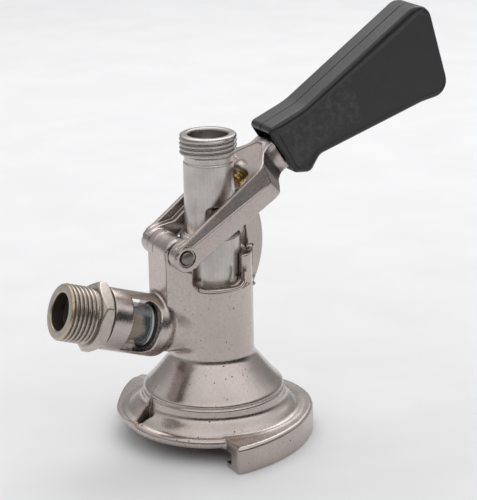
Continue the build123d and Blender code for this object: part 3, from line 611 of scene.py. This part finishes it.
turned = [(-5, 6.5)] + arc(DISC_R - 2.15, 8.65, 2.13, -90, 90, 10) + [(34.9, 10.85)]
turned += catmull([(34.6, 11.0), (34.05, 11.6), (33.3, 12.5), (32.3, 13.45), (31.3, 14.2), (30.4, 14.95), (29.75, 15.75),
                   (29.35, 16.7), (29.2, 17.7), (29.1, 19.3)], 4)
turned += [(28.9, 19.75), (28.35, 20.15), (28.6, 20.5), (28.7, 20.9)]
turned += catmull([(28.62, 21.25), (28.3, 21.85), (27.75, 22.5), (25.9, 24.4), (23.45, 27.2), (21.2, 29.9), (19.85, 31.6), (18.7, 33.0),
                   (17.9, 34.0), (17.3, 35.0), (16.95, 36.1), (NECK_R, 37.2)], 4)
turned += [(NECK_R, 78.0), (-5, 78.0)]
T_turn = Tab(turned, (-2, 4), (38.5, 81), 0.15, soft=0.16)

bore = [(-5, -3), (23.5, -3), (23.5, 15.0), (21.0, 15.0), (21.0, 17.0), (15.2, 29.5), (14.2, 31.5), (14.2, 56.0),
        (12.28, 57.0), (12.28, 57.4), (14.3, 57.4), (14.3, 59.6), (12.28, 59.6), (12.28, 61.8), (14.3, 61.8),
        (14.3, 64.0), (12.28, 64.0), (12.28, 87.0), (10.5, 88.5), (10.5, 104), (-5, 104)]
T_bore = Tab(bore, (-1, -3), (26, 106), 0.2, soft=0.1)
web = [(-36.3, -3.0), (-37.9, 3.0), (-38.1, 8.0), (-37.0, 13.8), (-34.9, 19.7), (-29.1, 29.3), (-23.1, 37.6),
       (-16.5, 44.2), (-11.5, 45.4)]
T_web = Tab(catmull(web, 4) + [(-6, 34), (-24, 0)], (-41, -6), (-4, 48), 0.2, soft=0.2)
T_fin = Tab([(36.85, 9.2), (36.85, 11.2), (25.6, 24.9), (24.6, 24.9), (24.6, 9.2)], (23, 8), (38.5, 26.5), 0.12, soft=0.12)
GA, GB = math.radians(182.5), math.radians(108.5)


def casting(X, Y, Z):
    r = np.hypot(X, Y)
    ay = np.abs(Y)
    base = T_turn(r, Z)
    # neck shaped by windows, shoulders and trims
    qx, qz = np.abs(X + 2.95) - 6.55, 70.0 - Z
    w2 = np.hypot(np.maximum(qx, 0), np.maximum(qz, 0)) + np.minimum(np.maximum(qx, qz), 0) - 4.0
    base = rmax(base, -w2, 0.6)
    base = rmax(base, -np.maximum(X + 13.5, 73.5 - Z), 0.6)
    base = rmax(base, -np.maximum(np.maximum(2.5 - X, 12.8 - ay), 65.8 - Z), 1.0)
    # horseshoe rail
    tr = T_rail(X, Y)
    rail = rmax(tr, -(X + 12.7), 1.3)
    rail = rmax(rail, Z - 10.95, 1.7)
    rail = rmax(rail, -Z, 0.5)
    base = rmin(base, rail, 1.2)
    # web in the far corner, cone over it, fin beside the arm
    tg = -X * math.sin(GA) + Y * math.cos(GA)
    tb = -X * math.sin(GB) + Y * math.cos(GB)
    rho_f = X * math.cos(GA) + Y * math.sin(GA)
    base = rmin(base, rmax(T_web(X, Y), np.abs(Z - 10.02) - 0.93, 0.45), 1.5)
    cov = np.maximum(r - 36.4, (Z - 11.0 - 0.62 * (36.4 - r)) * 0.85)
    base = rmin(base, rmax(np.maximum(cov, 9.3 - Z), np.maximum(tg, -tb), 0.4), 2.0)
    fin = rmax(T_fin(rho_f, Z), np.abs(tg) - 0.5, 0.3)
    pocket = np.maximum(np.maximum(0.45 - tg, (tg - 0.6 - 0.78 * (35.9 - rho_f)) * 0.79), np.maximum(np.maximum(tg - 4.4, 30.0 - rho_f), 9.9 - Z))
    base = rmax(base, -pocket, 0.35)
    base = rmin(base, fin, 0.3)
    # keg flange groove
    base = rmax(base, -rmax(tr + 6.5, np.abs(Z - 4.25) - 2.25, 0.3), 0.25)
    base = rmax(base, -np.maximum(tr + 10.4, Z - 3.0), 0.3)
    # pivot block
    u, v = X - PX, Z - PZ
    blk = np.minimum(np.hypot(u + 0.3, v) - 5.9, np.maximum(np.maximum(np.abs(u + 0.3) - 5.9, v), -40.0 - v))
    band = np.maximum(np.hypot(u + 0.3, v) - 6.2, np.maximum(np.abs(ay - 5.6) - 2.0, -v - 3.0))
    blk = rmax(rmin(blk, band, 0.3), ay - 8.7, 0.9)
    base = rmin(base, blk, 3.0)
    # quadrant
    rp = np.hypot(u, v)
    q = np.maximum(np.maximum(rp - 39.1, 31.6 - rp), -u * 0.515 + v * 0.857)
    q = rmax(np.maximum(q, -(u * 0.6018 + v * 0.7986)), ay - 5.0, 1.0)
    q = rmax(q, -np.maximum(np.maximum(36.6 - rp, ay - 3.6), -(u * 0.4067 + v * 0.9135)), 0.4)
    base = rmin(base, q, 1.6)
    # gas arm: housing with a rounded inner end on a slimmer root
    d = -X * cp + (Z - AZ) * sp
    hh = X * sp + (Z - AZ) * cp
    rho0 = np.hypot(Y, hh)
    rho = np.hypot(Y, hh - 0.25)
    root = np.maximum(np.hypot(Y, hh - 1.2) - 9.0, np.maximum(8.0 - d, d - 30.0))
    base = rmin(base, root, 3.2)
    arm = rmax(rmax(rho - 12.5, 22.4 - d, 5.8), d - 51.5, 0.4)
    base = rmin(base, arm, 1.4)
    # window bead
    bead = np.hypot(w2 - 0.1, r - 16.95) - 0.8
    bead = np.maximum(bead, np.maximum(-(X + 11.8), Z - 72.0))
    base = rmin(base, bead, 0.4)
    # sight window
    wd = rmax(31.2 - d, np.maximum(hh - 10.9, -9.6 - hh), 4.2)
    wd = np.maximum(wd, d - 43.3)
    base = rmax(base, -wd, 0.7)
    # small casting nubs on the right-hand edge
    for zn in (66.0, 63.0):
        base = rmin(base, np.sqrt((X - 15.6) ** 2 + (Y + 7.0) ** 2 + (Z - zn) ** 2) - 0.85, 0.4)
    # bores
    base = rmax(base, -np.maximum(rho0 - 9.0, np.abs(d - 38.7) - 7.7), 0.3)
    base = np.maximum(base, -np.maximum(rho0 - 10.5, np.abs(d - 49.8) - 3.7))
    base = np.maximum(base, -np.maximum(rho0 - 6.0, np.abs(d - 19.0) - 13.0))
    base = rmax(base, -T_bore(r, Z), 0.3)
    na = math.radians(-9.9)
    nk = np.hypot(Y, -(X - PX) * math.sin(na) + (Z - PZ) * math.cos(na)) - 3.0
    base = np.maximum(base, -np.maximum(nk, 34.9 - (u * math.cos(na) + v * math.sin(na))))
    base = rmax(base, -(rp - PIN_R - 0.02), 0.25)
    base = rmax(base, -np.maximum(rp - 5.95, 9.4 - ay), 0.3)
    return np.maximum(base, ay - 45.88)


blo, bhi = mm_box("body_casting")
cast = field_piece("casting_shell", casting, blo, bhi, 0.36, "body", "nickel_casting", ["body_casting"], m_cast)

# ------------------------------------------------------------------ lever
T_side = Tab([(-3, 4.85), (58.0, 5.3), (58.4, -8.4), (52.5, -7.4), (48.6, -6.6), (45.4, -9.2), (42.5, -9.6),
              (34.4, -8.9), (0, -6.05), (-3, -5.9)], (-10, -14), (62, 10), 0.15, soft=0.3)
T_plan = Tab([(-12, 15.7), (42.0, 15.7), (45.0, 15.1), (47.6, 13.2), (50.0, 10.0), (52.4, 7.2), (54.5, 6.5), (60, 6.3),
              (60, -4), (-12, -4)], (-10, -2), (61, 18), 0.15, soft=0.5)
T_lrail = Tab([(-1.9, 5.6), (3.7, 4.4), (9.8, 1.3), (19.8, 1.8), (21.5, -2.6), (8.0, -4.4), (0, -5.9)], (-8, -9), (25, 9), 0.2, soft=0.2)
T_flute = Tab([(-4.0, 4.1), (46.8, 4.6), (45.6, -2.35), (41.0, -1.95), (25.8, -0.4), (12.5, 0.8), (5.0, 1.5), (-4.0, 2.3)], (-6, -8), (52, 10), 0.15, soft=0.2)
T_panel = Tab([(46.2, 10.2), (54.5, 3.0), (54.8, -1.8), (47.4, -9.4), (44.0, -6.9), (44.5, 3.3)], (38, -14), (60, 14), 0.15, soft=0.35)


def lever_field(X, Y, Z):
    u = (X - LX) * cf + (Z - LZ) * sf
    v = -(X - LX) * sf + (Z - LZ) * cf
    ay = np.abs(Y)
    ruv = np.hypot(u - EU, v - EV)
    eye = ruv - 5.7
    side = rmin(T_side(u, v), eye, 1.2)
    side = np.where(u < EU, eye, side)
    L = rmax(side, T_plan(u, ay), 0.55)
    s = (X - BX) * cb + (Z - BZ) * sb
    rad = np.hypot(Y, -(X - BX) * sb + (Z - BZ) * cb)
    bar = rmax(rad - 6.9, s - 18.7, 0.7)
    bar = np.maximum(bar, 6.0 - s)
    L = rmin(L, bar, 1.0)
    L = rmin(L, rmax(rad - 5.9, s - 27.0, 0.3), 0.3)
    sl = rmax(u - 41.5, ay - ARM_IN, 6.5)
    L = rmax(L, -np.maximum(sl, -15.0 - u), 0.7)
    inner = ay - 13.9
    L = rmin(L, rmax(T_lrail(u, v), np.maximum(10.35 - ay, inner), 0.5), 0.5)
    L = rmin(L, rmax(eye, np.maximum(9.5 - ay, inner), 0.5), 0.5)
    L = rmin(L, rmax(np.hypot(u - 20.5, v) - 3.0, np.maximum(8.6 - ay, inner), 0.5), 0.4)
    # outer faces: dished upper flute over a flat band that leans in slightly
    floor = LEVER_Y - 0.50 - 0.20 * (v + 0.08 * (u - 20.0))
    fl = rmax(rmax(T_flute(u, v), 4.75 - ruv, 0.4), floor - ay, 0.2)
    L = rmax(L, -fl, 0.22)
    L = rmax(L, ay - LEVER_Y + 0.12 * np.maximum(0, -1.6 - v), 0.5)
    # panel on the web
    L = rmax(L, -np.maximum(T_panel(u, Y), 4.50 + 0.0075 * u - v), 0.2)
    # hollow under the web, where the bolt's tip shows
    L = rmax(L, -rmax(rmax(u - 46.0, ay - 6.6, 2.5), v - 2.7, 0.8), 0.5)
    L = rmin(L, np.maximum(rad - 4.2, np.maximum(8.5 - s, s - 16.0)), 0.4)
    # pivot hole with counterbore, bolt and spring bores
    L = rmax(L, -(ruv - PIN_R - 0.08), 0.15)
    L = rmax(L, -np.maximum(ruv - 3.55, LEVER_Y - 1.1 - ay), 0.35)
    L = np.maximum(L, -np.maximum(rad - 2.56, 3.0 - s))
    L = np.maximum(L, -np.maximum(rad - 4.0, 11.5 - s))
    return L


llo, lhi = mm_box("lever")
lever = field_piece("lever_fork", lever_field, llo, lhi, 0.33, "lever", "nickel_casting", ["lever"], m_lever)

# ------------------------------------------------------------------ probe
PITCH = 1.814


def thread_tab(crest, root, floor_r):
    pts = [(floor_r, -3 * PITCH)]
    for k in range(-3, 4):
        z = k * PITCH
        pts += [(crest, z - 0.62), (root, z - 0.13), (root, z + 0.13), (crest, z + 0.62)]
    pts += [(floor_r, 3 * PITCH)]
    return Tab(pts, (floor_r + 0.5, -2 * PITCH), (crest + 1.5, 2 * PITCH), 0.06, soft=0.11)


T_thr = thread_tab(11.42, 10.45, 5.0)
pr = [(-3, 19.5), (8.4, 19.5), (8.4, 29.0), (10.0, 29.0), (10.0, 48.5), (WIDE_R, 50.0), (WIDE_R, 84.7), (WIDE_R - 0.35, 85.35),
      (WIDE_R - 1.0, 85.8), (10.1, 85.9), (10.1, 114.75), (9.7, 115.2), (9.7, 117.1), (9.85, 117.7), (11.42, 118.6),
      (11.42, 125.3), (11.2, 125.8), (10.6, 126.2), (10.2, 126.28), (-3, 126.28)]
T_pr = Tab(pr, (-1, 18), (14, 128), 0.12, soft=0.10)
pb = [(-3, 17), (6.0, 17), (6.0, 56.0), (5.0, 57.0), (5.0, 60.0), (7.2, 62.4), (7.2, 72.5), (7.7, 72.5), (7.7, 73.7), (7.2, 73.7),
      (7.2, 117.0), (8.0, 118.0), (8.0, 125.4), (8.3, 126.0), (8.9, 126.6), (8.9, 129), (-3, 129)]
T_pb = Tab(pb, (-1, 18), (12, 128), 0.15, soft=0.12)
CAM_AZ = math.atan2(-0.895, -0.445)


def probe_field(X, Y, Z):
    r = np.hypot(X, Y)
    f = T_pr(r, Z)
    th = np.arctan2(Y, X)
    ph = (Z - 121.95) / PITCH - (th - CAM_AZ) / (2 * math.pi)
    ph = (ph - np.round(ph)) * PITCH
    k = 1.3 * np.clip((Z - 125.2) / 0.9, 0, 1) + 1.3 * np.clip((119.2 - Z) / 1.4, 0, 1)
    f = np.maximum(f, np.where((Z > 117.2) & (r > 9.2), T_thr(r - k, ph), -9))
    # flats with rounded corners that the lever lugs bear in
    qz, qy = np.abs(Z - 94.65) - 2.95, 9.1 - np.abs(Y)
    n2 = np.hypot(np.maximum(qz + 1.2, 0), np.maximum(qy + 1.2, 0)) + np.minimum(np.maximum(qz + 1.2, qy + 1.2), 0) - 2.0
    f = rmax(f, -n2, 0.2)
    return rmax(f, -T_pb(r, Z), 0.25)


plo, phi_ = mm_box("probe_tube")
probe = field_piece("probe_turned", probe_field, plo, phi_, 0.3, "probe", "stainless_tube", ["probe_tube"], m_probe)

# ------------------------------------------------------------------ gas nipple
T_nthr = thread_tab(11.42, 10.4, 5.0)
T_ng = Tab([(46.2, -3), (46.2, 10.35), (57.3, 10.35), (58.2, 11.42), (68.9, 11.42), (69.5, 11.0), (69.86, 10.55), (69.86, -3)],
           (44, -1), (72, 14), 0.12, soft=0.12)
T_nb = Tab([(44, -3), (44, 6.4), (61.0, 6.4), (61.0, 4.0), (63.0, 4.0), (64.0, 7.5), (69.3, 7.5), (69.75, 7.8), (70.3, 8.3), (72, 8.3), (72, -3)],
           (44, -1), (72, 14), 0.12, soft=0.10)
T_hx = Tab([(52.25, -3), (52.25, 12.9), (53.1, 14.5), (56.0, 14.5), (57.25, 12.5), (57.25, -3)], (50, -1), (61, 17), 0.12, soft=0.12)


def nipple_field(X, Y, Z):
    d = -X * cp + (Z - AZ) * sp
    h = X * sp + (Z - AZ) * cp
    rho = np.hypot(Y, h)
    th = np.arctan2(h, -Y)
    f = T_ng(d, rho)
    ph = (d - 64.8) / PITCH - (th + 0.17) / (2 * math.pi)
    ph = (ph - np.round(ph)) * PITCH
    k = 1.3 * np.clip((d - 68.9) / 0.6, 0, 1) + 1.3 * np.clip((57.9 - d) / 0.9, 0, 1)
    f = np.maximum(f, np.where((d > 57.2) & (rho > 9.2), T_nthr(rho - k, ph), -9))
    hx = np.maximum(np.abs(Y), np.maximum(np.abs(0.5 * Y + 0.866 * h), np.abs(0.5 * Y - 0.866 * h))) - 12.7
    f = rmin(f, rmax(hx, T_hx(d, rho), 0.35), 0.35)
    return rmax(f, -T_nb(d, rho), 0.2)


nlo, nhi = mm_box("gas_nipple")
nip = field_piece("nipple_turned", nipple_field, nlo, nhi, 0.27, "body", "nickel_turned", ["gas_nipple"], m_nip)


# ------------------------------------------------------------------ pivot pin, lock bolt
def pin_field(X, Y, Z):
    rr = np.hypot(X - PX, Z - PZ)
    end = PIN_END - 0.02 - 0.085 * rr * rr
    return rmax(rr - PIN_R + 0.01, np.abs(Y) - end, 0.55)


pl, ph_ = mm_box("pivot_pin")
field_piece("pin_domed", pin_field, pl, ph_, 0.28, "body", "pin_steel", ["pivot_pin"], m_pin)

T_bolt = Tab([(-1.45, -2), (-1.45, 1.4), (-1.1, 2.1), (-0.5, 2.42), (0.4, 2.48), (0.6, 2.2), (0.9, 2.2), (1.1, 2.48), (2.3, 2.48), (2.5, 2.25),
              (2.8, 2.25), (3.0, 2.48), (12.0, 2.48), (12.0, 3.86), (14.4, 3.86), (14.4, 2.48), (76.0, 2.48), (76.45, 2.1), (76.45, -2)],
             (-4, -1), (79, 6), 0.12, soft=0.08)


def bolt_field(X, Y, Z):
    s = (X - BX) * cb + (Z - BZ) * sb
    t = -(X - BX) * sb + (Z - BZ) * cb
    f = T_bolt(s, np.hypot(Y, t))
    return np.maximum(f, 1.25 - np.hypot(s - 67.0, t))


pl, ph_ = mm_box("lock_bolt")
field_piece("bolt_turned", bolt_field, pl, ph_, 0.3, "grip", "bolt_brass", ["lock_bolt"], m_brass)

# ------------------------------------------------------------------ sight glass with eased rims
T_gl = Tab([(31.85, 6.85), (45.25, 6.85), (45.25, 8.45), (31.85, 8.45)], (30, 5), (47, 10), 0.08, soft=0.16)
pl, ph_ = mm_box("sight_glass")
field_piece("glass_tube", lambda X, Y, Z: T_gl(-X * cp + (Z - AZ) * sp, np.hypot(Y, X * sp + (Z - AZ) * cp)), pl, ph_, 0.3,
            "body", "sight_clear", ["sight_glass"], m_glass)

# ------------------------------------------------------------------ grip shells
grip_poly = [(22.2, 126.0), (38.7, 133.0), (95.9, 172.7), (108.3, 130.7), (94.5, 128.1), (46.3, 112.7), (42.1, 106.0), (34.8, 106.6)]
grip_rad = [2.2, 30.0, 7.0, 6.5, 6.0, 5.0, 3.2, 2.2]
T_grip = Tab(rounded(grip_poly, grip_rad, 7), (20, 103), (111, 177), 0.2, soft=0.2)
cav_poly = [(19.0, 121.9), (26.0, 124.8), (39.4, 131.1), (60.0, 145.6), (66.5, 124.0), (44.3, 115.6), (39.7, 109.0), (35.0, 109.2), (34.0, 104.0)]
T_cav = Tab(rounded(cav_poly, 0.8, 3), (14, 100), (72, 150), 0.2, soft=0.25)
# centre line of the raised bead, inset from the upper edge
bead_line = catmull([(27.6, 126.1), (33.0, 128.4), (39.6, 131.6), (45.8, 135.6), (58.6, 144.2), (71.2, 152.6), (82.4, 160.2), (90.0, 165.6),
                     (93.2, 167.0)], 4)
T_bead = Tab(bead_line, (16, 98), (112, 180), 0.25, line=True)
pan_poly = [(27.2, 124.4), (39.3, 130.3), (91.2, 165.4), (97.4, 164.2), (105.6, 135.2), (104.0, 131.6), (93.8, 129.6), (45.0, 114.2), (40.6, 107.8),
            (35.6, 108.7)]
T_pan = Tab(rounded(pan_poly, [1.0, 12, 4.0, 4.0, 3.0, 3.0, 5.0, 5.0, 2.0, 1.0], 5), (20, 100), (112, 178), 0.2, soft=0.3)


def grip_all(X, Y, Z):
    ay = np.abs(Y)
    tg_ = T_grip(X, Z)
    f = rmax(tg_, ay - 8.75, 1.7)
    # shallow dish over the whole broad face, then the bead along its upper edge
    f = rmax(f, -rmax(T_pan(X, Z), 8.15 - ay, 0.4), 0.35)
    w = np.clip((X - 30.0) / 58.0, 0, 1)
    rb = 1.35 + 0.85 * w * w * (3 - 2 * w)
    b = np.hypot(T_bead(X, Z), ay - (8.97 - rb)) - rb
    f = rmin(f, np.maximum(b, tg_ + 0.35), 0.25)
    s = (X - BX) * cb + (Z - BZ) * sb
    t = -(X - BX) * sb + (Z - BZ) * cb
    f = rmax(f, -rmax(T_cav(X, Z), ay - 6.9, 0.6), 0.45)
    return np.maximum(f, -np.maximum(np.hypot(Y, t) - 2.55, np.maximum(48.0 - s, s - 77.0)))


for nm, sg in (("front", 1.0), ("rear", -1.0)):
    pl, ph_ = mm_box("grip_shell_" + nm)
    g = field_piece("grip_half_" + nm, lambda X, Y, Z, sg=sg: rmax(grip_all(X, Y, Z), sg * Y + 0.05, 0.4), pl, ph_, 0.42,
                    "grip", "grip_black", ["grip_shell_" + nm], m_grip)

# ------------------------------------------------------------------ CAD nodes that stay, with their finishes
stay = {"seal_retainer": m_probe, "barrel_plug": m_brass, "keg_seal": m_rub, "probe_bottom_seal": m_rub,
        "shaft_seal_lower": m_rub, "shaft_seal_upper": m_rub, "sight_glass_seal_inner": m_rub, "sight_glass_seal_outer": m_rub,
        "nipple_gasket": m_gask, "lock_spring": m_spring, "gas_check_spring": m_spring, "grip_pin": m_spring,
        "beer_check_ball": m_ball, "gas_check_ball": m_ball, "ball_stop_ring": m_ins, "gas_spring_seat": m_ins}
for k, mt in stay.items():
    ob = nodes[k]
    if len(ob.material_slots) == 0:
        ob.data.materials.append(mt)
    for sl_ in ob.material_slots:
        sl_.material = mt

# ------------------------------------------------------------------ camera
cam_data = bpy.data.cameras.new("cam")
cam = bpy.data.objects.new("cam", cam_data)
bpy.context.scene.collection.objects.link(cam)
cam_data.sensor_fit = 'AUTO'
cam_data.sensor_width = 36.0
cam_data.lens = 2034.5 * 36.0 / 500.0
pos = Vector((-0.3458, -0.6957, 0.3284))
az, pitch, roll = math.radians(-27.26), math.radians(17.90), -0.0187
fw = Vector((-math.sin(az) * math.cos(pitch), math.cos(az) * math.cos(pitch), -math.sin(pitch)))
r0 = fw.cross(Vector((0, 0, 1))).normalized()
u0 = r0.cross(fw).normalized()
rr = r0 * math.cos(roll) + u0 * math.sin(roll)
uu = -r0 * math.sin(roll) + u0 * math.cos(roll)
m = Matrix((rr, uu, -fw)).transposed().to_4x4()
m.translation = pos
cam.matrix_world = m
bpy.context.scene.camera = cam

# ------------------------------------------------------------------ floor and studio light
bpy.ops.mesh.primitive_plane_add(size=5, location=(0, 0, 0))
fl = bpy.context.object; fl.name = "floor"
F = Mat("floor_paper")
fn = F.noise(0.02, 2.0)
paper = F.mix(F.range(fn, 0.3, 0.7), (0.80, 0.80, 0.81), (0.83, 0.83, 0.84))
fl.data.materials.append(F.set(Base_Color=paper, Roughness=0.75))
fl.data.materials[0].node_tree.nodes["Principled BSDF"].inputs["Specular IOR Level"].default_value = 0.15


def area(name, loc, at, sx, sy, watts, col=(1, 1, 1)):
    l = bpy.data.lights.new(name, 'AREA'); l.shape = 'RECTANGLE'; l.size = sx; l.size_y = sy; l.energy = watts; l.color = col
    o = bpy.data.objects.new(name, l); o.location = loc
    bpy.context.scene.collection.objects.link(o)
    o.rotation_euler = (Vector(at) - o.location).to_track_quat('-Z', 'Y').to_euler()
    return o


area("softbox_top", (0.22, 0.48, 0.95), (0.0, 0.0, 0.05), 0.9, 0.8, 3.2)
area("softbox_side", (0.80, 0.55, 0.80), (0, 0, 0.06), 0.6, 0.6, 1.1)

w = bpy.data.worlds.new("studio"); bpy.context.scene.world = w; w.use_nodes = True
nt = w.node_tree
bg = nt.nodes["Background"]
tc = nt.nodes.new("ShaderNodeTexCoord")
sx = nt.nodes.new("ShaderNodeSeparateXYZ"); nt.links.new(tc.outputs["Generated"], sx.inputs[0])


def wramp(stops, src):
    n = nt.nodes.new("ShaderNodeMapRange"); n.inputs["From Min"].default_value = -1.0; n.inputs["From Max"].default_value = 1.0
    nt.links.new(src, n.inputs["Value"])
    c = nt.nodes.new("ShaderNodeValToRGB"); nt.links.new(n.outputs[0], c.inputs[0])
    c.color_ramp.interpolation = 'EASE'
    el = c.color_ramp.elements
    el[0].position = (stops[0][0] + 1) / 2; el[0].color = (stops[0][1],) * 3 + (1,)
    el[1].position = (stops[-1][0] + 1) / 2; el[1].color = (stops[-1][1],) * 3 + (1,)
    for p, v in stops[1:-1]:
        e = el.new((p + 1) / 2); e.color = (v,) * 3 + (1,)
    return c.outputs[0]


front = wramp([(-0.3, 0.05), (0.0, 0.03), (0.36, 0.05), (0.45, 0.15), (0.56, 1.5), (0.75, 1.5), (1.0, 1.2)], sx.outputs[2])
back = wramp([(-0.3, 0.42), (0.0, 0.42), (0.3, 0.50), (0.55, 0.92), (0.8, 1.15), (1.0, 1.25)], sx.outputs[2])
dp = nt.nodes.new("ShaderNodeVectorMath"); dp.operation = 'DOT_PRODUCT'
nt.links.new(tc.outputs["Generated"], dp.inputs[0]); dp.inputs[1].default_value = (0.0, -1.0, 0.0)
side = wramp([(-0.10, 0.0), (0.62, 1.0)], dp.outputs["Value"])
mx = nt.nodes.new("ShaderNodeMix"); mx.data_type = 'RGBA'
nt.links.new(side, mx.inputs[0]); nt.links.new(back, mx.inputs[6]); nt.links.new(front, mx.inputs[7])
nt.links.new(mx.outputs[2], bg.inputs[0])
bg.inputs[1].default_value = 0.80
bpy.context.scene.view_settings.view_transform = 'Standard'
